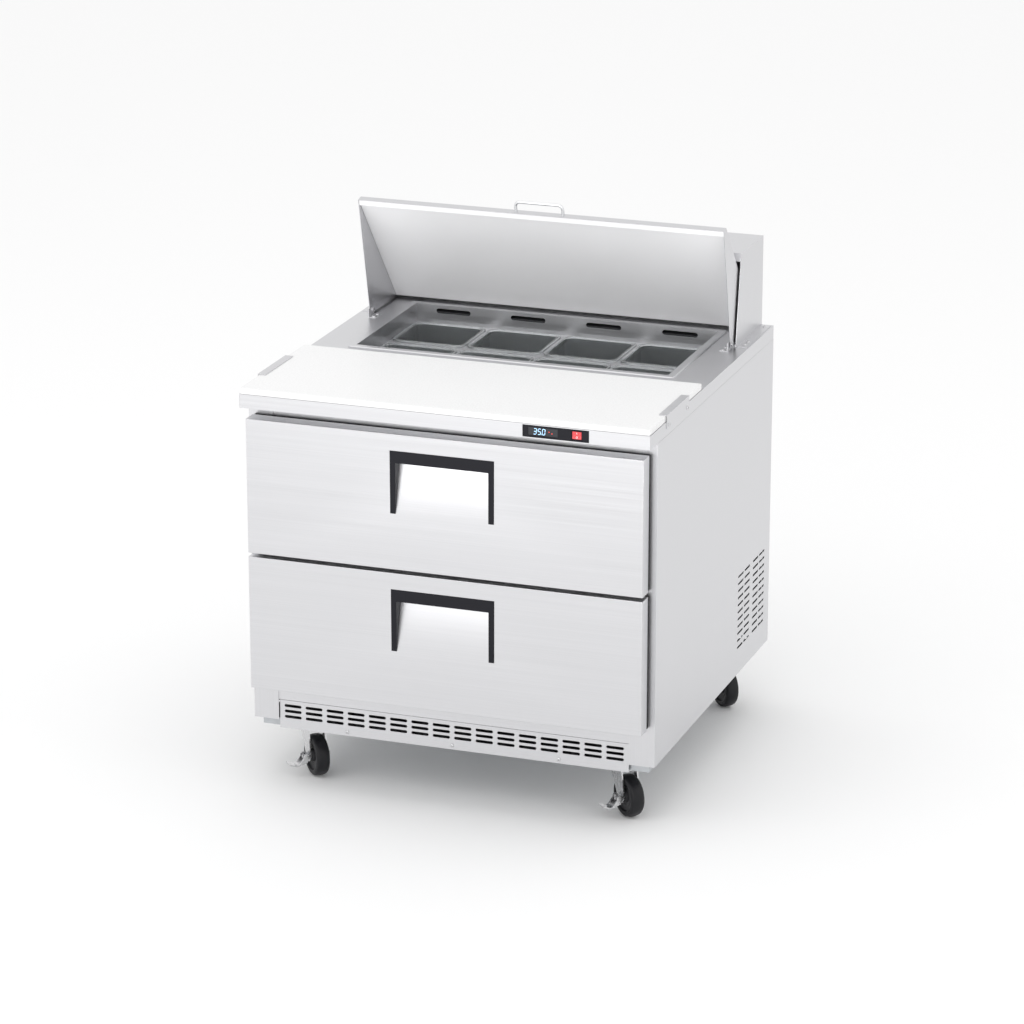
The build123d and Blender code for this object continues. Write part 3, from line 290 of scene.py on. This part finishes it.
DISPLAY = moulded("display", (0.008, 0.010, 0.016), (0.08, 0.14), 200.0, 0.000002, 0.6)
SWITCH_RED = moulded("switch_red", (0.72, 0.075, 0.085), (0.2, 0.3), 500.0)
HUB = moulded("hub", (0.030, 0.030, 0.033), (0.38, 0.52), 500.0, 0.00003)
MARK_WHITE = moulded("mark_white", (0.85, 0.85, 0.85), (0.4, 0.5), 400.0)
DIGIT_BLUE = glowing("digit_blue", (0.45, 0.72, 1.0), 1.2)
DOT_RED = glowing("dot_red", (1.0, 0.06, 0.03), 1.4)

MATERIAL_OF = {
    "worktop": STEEL_ACROSS, "hood": STEEL_ACROSS, "front_grille": STEEL_ACROSS,
    "drawer_front_upper": STEEL_ACROSS, "drawer_front_lower": STEEL_ACROSS,
    "side_panel_left": STEEL_UPRIGHT, "side_panel_right": STEEL_UPRIGHT,
    "pan_well": STEEL_ACROSS, "pan_rails": STEEL_ACROSS, "front_frame": STEEL_ACROSS,
    "lid_outer": STEEL_ACROSS, "lid_inner": LINING, "lid_handle": STEEL_BRIGHT,
    "board_clips": STEEL_INWARD, "pivot_brackets": STEEL_INWARD, "pivot_pins": ZINC,
    "drawer_frame_upper": STEEL_INWARD, "drawer_frame_lower": STEEL_INWARD,
    "slide_middle_upper": GALVANISED, "slide_middle_lower": GALVANISED,
    "slide_rails": GALVANISED, "inner_liner": ALUMINIUM, "back_panel": GALVANISED,
    "base_frame": GALVANISED, "fan_motors": GALVANISED, "panel_screws": ZINC,
    "evaporator_coil": ALUMINIUM, "condenser_coil": ALUMINIUM,
    "evaporator_fan": GREY_PLASTIC, "condenser_fan": GREY_PLASTIC,
    "compressor": BLACK_PAINT, "insulation": FOAM_PAINTED_SHADE, "cutting_board": BOARD,
    "control_bezel": BLACK_PLASTIC, "cord_gland": BLACK_PLASTIC,
    "display_window": DISPLAY, "power_switch": SWITCH_RED, "caster_plates": ZINC,
}
for level in LEVELS:
    MATERIAL_OF[f"drawer_handle_{level}"] = BLACK_PLASTIC
    MATERIAL_OF[f"drawer_gasket_{level}"] = GASKET
for pan in PANS:
    MATERIAL_OF[pan] = CLEAR
for place in CASTERS:
    MATERIAL_OF[f"caster_fork_{place}"] = ZINC
    MATERIAL_OF[f"caster_wheel_{place}"] = RUBBER
for place in BRAKED:
    MATERIAL_OF[f"caster_brake_{place}"] = ZINC


# ---- CAD nodes ------------------------------------------------------------------------
SOFT_EDGE = {               # mm
    "worktop": 0.5, "hood": 0.5, "lid_outer": 0.4, "lid_inner": 0.3, "front_grille": 0.3,
    "side_panel_left": 0.4, "side_panel_right": 0.4, "board_clips": 0.4,
    "cutting_board": 1.2, "control_bezel": 0.5, "power_switch": 0.6,
    "drawer_front_upper": 0.5, "drawer_front_lower": 0.5,
    "drawer_handle_upper": 1.5, "drawer_handle_lower": 1.5,
    "pivot_brackets": 0.4, "base_frame": 0.5,
}
FLAT = math.radians(0.6)      # faces that meet closer to level than this are joined
CORNER = math.radians(32.0)   # edges sharper than this are rounded
WELD_REACH = 0.01 * MM


def soften(node, width):
    """Rounds a CAD node's sharp edges by a small radius."""
    weld = node.modifiers.new("weld", "WELD")
    weld.merge_threshold = WELD_REACH
    flatten = node.modifiers.new("flatten", "DECIMATE")
    flatten.decimate_type = "DISSOLVE"
    flatten.angle_limit = FLAT
    edge = node.modifiers.new("edge", "BEVEL")
    edge.width = width * MM
    edge.segments = 3
    edge.limit_method = "ANGLE"
    edge.angle_limit = CORNER
    node.modifiers.new("normals", "WEIGHTED_NORMAL")


def finish_nodes():
    """Gives every CAD node its material, and those in SOFT_EDGE a rounded edge."""
    for name, node in nodes.items():
        node.data.materials.clear()
        node.data.materials.append(MATERIAL_OF[name])
        if name in SOFT_EDGE:
            soften(node, SOFT_EDGE[name])


# ---- mesh helpers ---------------------------------------------------------------------
def new_piece(name, mesh, body, *materials):
    """An object from a finished mesh that rides on a body."""
    for material in materials:
        mesh.materials.append(material)
    piece = bpy.data.objects.new(name, mesh)
    scene.collection.objects.link(piece)
    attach(piece, body)
    return piece


def smooth(mesh, degrees):
    """Smooth shading, with the edges sharper than an angle left crisp."""
    mesh.shade_smooth()
    mesh.set_sharp_from_angle(angle=math.radians(degrees))


def side_axes(axis):
    """Two directions square to an axis and to each other."""
    across = axis.orthogonal().normalized()
    return across, axis.cross(across)


def lathe(bm, profile, centre, axis, steps, material_at=None):
    """Turns a profile of (radius, distance along the axis) in mm round the axis; a radius of
    zero closes it to a point."""
    first, second = side_axes(axis)
    rings = []
    for radius, along in profile:
        middle = centre + axis * (along * MM)
        if radius == 0:
            rings.append([bm.verts.new(middle)])
            continue
        turn = [2 * math.pi * step / steps for step in range(steps)]
        rings.append([bm.verts.new(middle + (first * math.cos(angle) + second * math.sin(angle))
                                   * (radius * MM)) for angle in turn])
    for index in range(len(rings) - 1):
        low, high = rings[index], rings[index + 1]
        for step in range(steps):
            after = (step + 1) % steps
            corners = [low[step % len(low)], low[after % len(low)],
                       high[after % len(high)], high[step % len(high)]]
            unique = list(dict.fromkeys(corners))
            if len(unique) > 2:
                face = bm.faces.new(unique)
                if material_at:
                    face.material_index = material_at(index)
    return rings


def close_rings(bm, first, last):
    """Joins the last ring of a lathe back to its first one."""
    steps = len(first)
    for step in range(steps):
        after = (step + 1) % steps
        bm.faces.new([last[step], last[after], first[after], first[step]])


def plate(bm, outline, lift, depth):
    """A thin closed plate between an outline and its copy, a depth away along a direction."""
    front = [bm.verts.new(point) for point in outline]
    back = [bm.verts.new(point + lift * depth) for point in outline]
    bm.faces.new(front)
    bm.faces.new(list(reversed(back)))
    count = len(front)
    for index in range(count):
        after = (index + 1) % count
        bm.faces.new([front[after], front[index], back[index], back[after]])


def to_mesh(bm, name):
    """Closes a bmesh into a mesh with its faces turned outward."""
    bmesh.ops.recalc_face_normals(bm, faces=bm.faces)
    mesh = bpy.data.meshes.new(name)
    bm.to_mesh(mesh)
    bm.free()
    return mesh


# ---- casters --------------------------------------------------------------------------
HUB_BORE = 4.05           # mm, radius
WHEEL_SIDE = [            # radius and distance from the middle plane, mm
    (HUB_BORE, 13.6), (8.0, 13.6), (8.6, 15.0), (12.8, 15.0), (14.0, 14.0), (14.6, 8.6),
    (19.0, 8.2), (19.6, 9.2), (21.6, 9.2), (22.2, 8.2), (30.6, 8.6), (32.2, 10.2),
    (33.0, 14.3), (34.0, 15.0), (36.2, 15.0), (36.7, 14.5), (37.6, 14.5), (38.1, 15.0),
    (40.0, 14.9), (42.2, 14.0), (43.9, 12.2), (44.9, 9.6), (45.6, 6.0), (45.95, 2.2),
]
TYRE_FROM = 33.0          # mm, radius where the hub ends and the tyre begins
WHEEL_STEPS = 72
WHEEL_CREASE = 40.0       # degrees


def make_wheels():
    """Moulded wheels: a crowned tyre with a moulding line, round a dished hub."""
    profile = WHEEL_SIDE + [(radius, -along) for radius, along in reversed(WHEEL_SIDE)]

    def slot_of(index):
        return 1 if profile[index][0] >= TYRE_FROM else 0

    for place in CASTERS:
        roll = joints[f"caster_roll_{place}"]
        axis = Vector(roll["axis"]).normalized()
        low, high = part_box(f"caster_wheel_{place}")
        bm = bmesh.new()
        rings = lathe(bm, profile, (low + high) / 2, axis, WHEEL_STEPS, slot_of)
        close_rings(bm, rings[0], rings[-1])
        mesh = to_mesh(bm, f"wheel_{place}")
        smooth(mesh, WHEEL_CREASE)
        wheel = new_piece(f"moulded_wheel_{place}", mesh, f"wheel_{place}", HUB, RUBBER)
        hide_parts(f"caster_wheel_{place}")


# ---- drawer gaskets -------------------------------------------------------------------
GASKET_SIDE = [           # mm in from the drawer's edge, share of the gasket's depth
    (3.0, 0.0), (1.5, 0.10), (1.5, 0.34), (3.2, 0.44), (3.2, 0.52), (1.5, 0.62), (1.5, 0.90),
    (3.0, 1.0), (27.0, 1.0), (29.0, 0.88), (29.0, 0.14), (27.0, 0.0),
]


def make_gaskets():
    """A folded rubber seal round the back of each drawer front."""
    for level in LEVELS:
        edge_low, edge_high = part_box(f"drawer_front_{level}")
        low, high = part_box(f"drawer_gasket_{level}")
        bm = bmesh.new()
        rings = []
        for inset, share in GASKET_SIDE:
            reach = inset * MM
            y = low.y + (high.y - low.y) * share
            left, right = edge_low.x + reach, edge_high.x - reach
            bottom, top = edge_low.z + reach, edge_high.z - reach
            rings.append([bm.verts.new((x, y, z)) for x, z in
                          ((left, bottom), (right, bottom), (right, top), (left, top))])
        for first, second in zip(rings, rings[1:] + rings[:1]):
            close_rings(bm, second, first)
        mesh = to_mesh(bm, f"gasket_{level}")
        seal = new_piece(f"folded_gasket_{level}", mesh, f"drawer_{level}", GASKET)
        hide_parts(f"drawer_gasket_{level}")


# ---- screws ---------------------------------------------------------------------------
SCREW_HEIGHT = 2.4        # mm, seat to the top of the head
SCREW_SHAFT = [(0.0, -6.0), (1.4, -6.0), (2.0, -5.2), (2.0, 0.0)]
SCREW_HEAD = [(4.5, 0.0), (4.5, 0.5), (4.2, 1.2), (3.5, 1.8), (2.4, 2.2), (1.2, 2.38),
              (0.0, SCREW_HEIGHT)]
HEAD_ONLY = 4.0           # mm from the axis, where there is head and no shaft
CROSS_LONG, CROSS_WIDE, CROSS_DEEP = 5.0, 1.0, 1.3      # mm, the driver recess
CROSS_ABOVE = 0.6         # mm that the recess cutter starts above the head
CROSS_TURN = 37.0         # degrees from one screw's recess to the next
SCREW_STEPS = 32
SCREW_CREASE = 30.0       # degrees


def islands(mesh):
    """The separate solids of a mesh, each as a list of points."""
    bm = bmesh.new()
    bm.from_mesh(mesh)
    bmesh.ops.remove_doubles(bm, verts=bm.verts, dist=WELD_REACH)
    left = set(bm.verts)
    found = []
    while left:
        stack = [left.pop()]
        points = []
        while stack:
            vert = stack.pop()
            points.append(vert.co.copy())
            for edge in vert.link_edges:
                other = edge.other_vert(vert)
                if other in left:
                    left.discard(other)
                    stack.append(other)
        found.append(points)
    bm.free()
    return found


def screw_place(points):
    """Centre of the head's seat and the outward direction of one screw."""
    low = [min(point[axis] for point in points) for axis in range(3)]
    high = [max(point[axis] for point in points) for axis in range(3)]
    spans = [top - bottom for top, bottom in zip(high, low)]
    along = spans.index(min(spans))
    middle = Vector([(top + bottom) / 2 for top, bottom in zip(high, low)])
    wide = [point[along] for point in points
            if (point - middle).length_squared - (point[along] - middle[along]) ** 2
            > (HEAD_ONLY * MM) ** 2]
    seat_is_low = sum(wide) / len(wide) > middle[along]
    out = Vector((0, 0, 0))
    out[along] = 1.0 if seat_is_low else -1.0
    seat = middle.copy()
    seat[along] = min(wide) if seat_is_low else max(wide)
    return seat, out


def make_screws():
    """Pan-head screws with a cross recess, one for each screw in the CAD node."""
    heads = bmesh.new()
    crosses = bmesh.new()
    order = sorted(islands(nodes["panel_screws"].data),
                   key=lambda points: min(tuple(point) for point in points))
    for index, points in enumerate(order):
        seat, out = screw_place(points)
        lathe(heads, SCREW_SHAFT + SCREW_HEAD, seat, out, SCREW_STEPS)
        first, second = side_axes(out)
        turn = math.radians(CROSS_TURN * index)
        long_way = first * math.cos(turn) + second * math.sin(turn)
        wide_way = out.cross(long_way)
        top = seat + out * ((SCREW_HEIGHT + CROSS_ABOVE) * MM)
        for one, other in ((long_way, wide_way), (wide_way, long_way)):
            reach, half = one * (CROSS_LONG / 2 * MM), other * (CROSS_WIDE / 2 * MM)
            outline = [top - reach - half, top + reach - half, top + reach + half,
                       top - reach + half]
            plate(crosses, outline, -out, (CROSS_ABOVE + CROSS_DEEP) * MM)
    cutter = bpy.data.objects.new("cross_cutter", to_mesh(crosses, "cross_cutter"))
    scene.collection.objects.link(cutter)
    solid = bpy.data.objects.new("screw_solid", to_mesh(heads, "screw_solid"))
    scene.collection.objects.link(solid)
    cut = solid.modifiers.new("cut", "BOOLEAN")
    cut.operation = "DIFFERENCE"
    cut.solver = "EXACT"
    cut.use_self = True
    cut.object = cutter
    graph = bpy.context.evaluated_depsgraph_get()
    mesh = bpy.data.meshes.new_from_object(solid.evaluated_get(graph))
    for spare in (solid, cutter):
        bpy.data.objects.remove(spare)
    mesh.materials.clear()
    smooth(mesh, SCREW_CREASE)
    screws = new_piece("cross_screws", mesh, "cabinet", ZINC)
    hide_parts("panel_screws")


# ---- display and switch ---------------------------------------------------------------
SEGMENTS = {                      # the lit bars of each digit, from the top clockwise
    "3": "abcdg", "5": "acdfg", "0": "abcdef",
}
BARS = {                          # ends of each bar, in half widths and quarter heights
    "a": ((-1, 2), (1, 2)), "b": ((1, 2), (1, 0)), "c": ((1, 0), (1, -2)),
    "d": ((1, -2), (-1, -2)), "e": ((-1, -2), (-1, 0)), "f": ((-1, 0), (-1, 2)),
    "g": ((-1, 0), (1, 0)),
}
DIGIT_HALF_WIDE = 2.9             # mm, middle of the digit to the middle of an upright bar
DIGIT_STEP_TALL = 3.0             # mm, a quarter of the digit's height
BAR_HALF = 0.55                   # mm
BAR_GAP = 0.28                    # mm, from a bar's end to the middle of its joint
DIGIT_PITCH = 9.4                 # mm
DIGIT_LEAN = 0.10
DIGITS_FROM = 14.5                # mm, window's edge to the middle of the first digit
DOTS = ((30.4, 1.0), (36.9, -2.0))    # mm from the middle of the first digit
POINT_RADIUS = 0.55               # mm
DOT_RADIUS = 0.9                  # mm
READING = "350"
DISPLAY_DEPTH = 0.12              # mm that the lit bars stand on the window


def bar_outline(start, end, place):
    """Six-sided bar between two points, with pointed ends and a small gap."""
    run = (end - start).normalized()
    side = Vector((-run.y, run.x))
    near, far = start + run * BAR_GAP, end - run * BAR_GAP
    flat = [near, near + (run + side) * BAR_HALF, far + (side - run) * BAR_HALF, far,
            far - (side + run) * BAR_HALF, near + (run - side) * BAR_HALF]
    return [place(point) for point in flat]


def disc_outline(centre, radius, place, steps=20):
    """A small round outline."""
    turn = [2 * math.pi * step / steps for step in range(steps)]
    return [place(centre + Vector((math.cos(angle), math.sin(angle))) * radius) for angle in turn]


def make_display():
    """Generic lit digits, their point, and two lit dots on the display window."""
    low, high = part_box("display_window")
    start = low.x + DIGITS_FROM * MM
    middle = (low.z + high.z) / 2

    def place(point):
        lean = point.y * DIGIT_LEAN
        return Vector((start + (point.x + lean) * MM, low.y - DISPLAY_DEPTH * MM,
                       middle + point.y * MM))

    bm = bmesh.new()
    back = Vector((0, 1, 0))
    for index, digit in enumerate(READING):
        centre = index * DIGIT_PITCH
        for bar in SEGMENTS[digit]:
            ends = [Vector((centre + x * DIGIT_HALF_WIDE, z * DIGIT_STEP_TALL))
                    for x, z in BARS[bar]]
            plate(bm, bar_outline(*ends, place), back, DISPLAY_DEPTH * MM)
    point = Vector((1.5 * DIGIT_PITCH, -2 * DIGIT_STEP_TALL))
    plate(bm, disc_outline(point, POINT_RADIUS, place), back, DISPLAY_DEPTH * MM)
    new_piece("display_digits", to_mesh(bm, "display_digits"), "cabinet", DIGIT_BLUE)
    bm = bmesh.new()
    for dot in DOTS:
        plate(bm, disc_outline(Vector(dot), DOT_RADIUS, place), back, DISPLAY_DEPTH * MM)
    new_piece("display_dots", to_mesh(bm, "display_dots"), "cabinet", DOT_RED)


ROCKER_DISH = 1.1                 # mm, how far the middle of the rocker lies behind its ends
MARK_DEPTH = 0.15                 # mm that a mark stands on the rocker
MARK_AT = 4.3                     # mm from the middle of the rocker to each mark
BAR_MARK = (0.45, 1.9)            # mm, half width and half height of the upper mark
RING_MARK = (1.35, 2.05)          # mm, inner and outer radius of the lower mark
RING_STEPS = 32


def make_switch_marks():
    """A printed bar and ring on the two halves of the rocker switch."""
    low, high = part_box("power_switch")
    middle = (low + high) / 2
    half_tall = (high.z - low.z) / 2
    slope = ROCKER_DISH * MM / half_tall

    def on_rocker(x, z):
        return Vector((middle.x + x * MM, low.y + slope * (half_tall - abs(z) * MM),
                       middle.z + z * MM))

    bm = bmesh.new()
    wide, tall = BAR_MARK
    corners = [(-wide, MARK_AT - tall), (wide, MARK_AT - tall), (wide, MARK_AT + tall),
               (-wide, MARK_AT + tall)]
    upper = Vector((0, -1, -slope)).normalized()
    lift = upper * (MARK_DEPTH * MM)
    plate(bm, [on_rocker(*corner) + lift for corner in corners], -upper, MARK_DEPTH * MM)
    inner, outer = RING_MARK
    ring = [(inner, 0.0), (outer, 0.0), (outer, MARK_DEPTH), (inner, MARK_DEPTH)]
    lower = Vector((0, -1, slope)).normalized()
    rings = lathe(bm, ring, on_rocker(0.0, -MARK_AT), lower, RING_STEPS)
    close_rings(bm, rings[0], rings[-1])
    new_piece("switch_marks", to_mesh(bm, "switch_marks"), "switch", MARK_WHITE)


make_studio()
finish_nodes()
make_wheels()
make_gaskets()
make_screws()
make_display()
make_switch_marks()
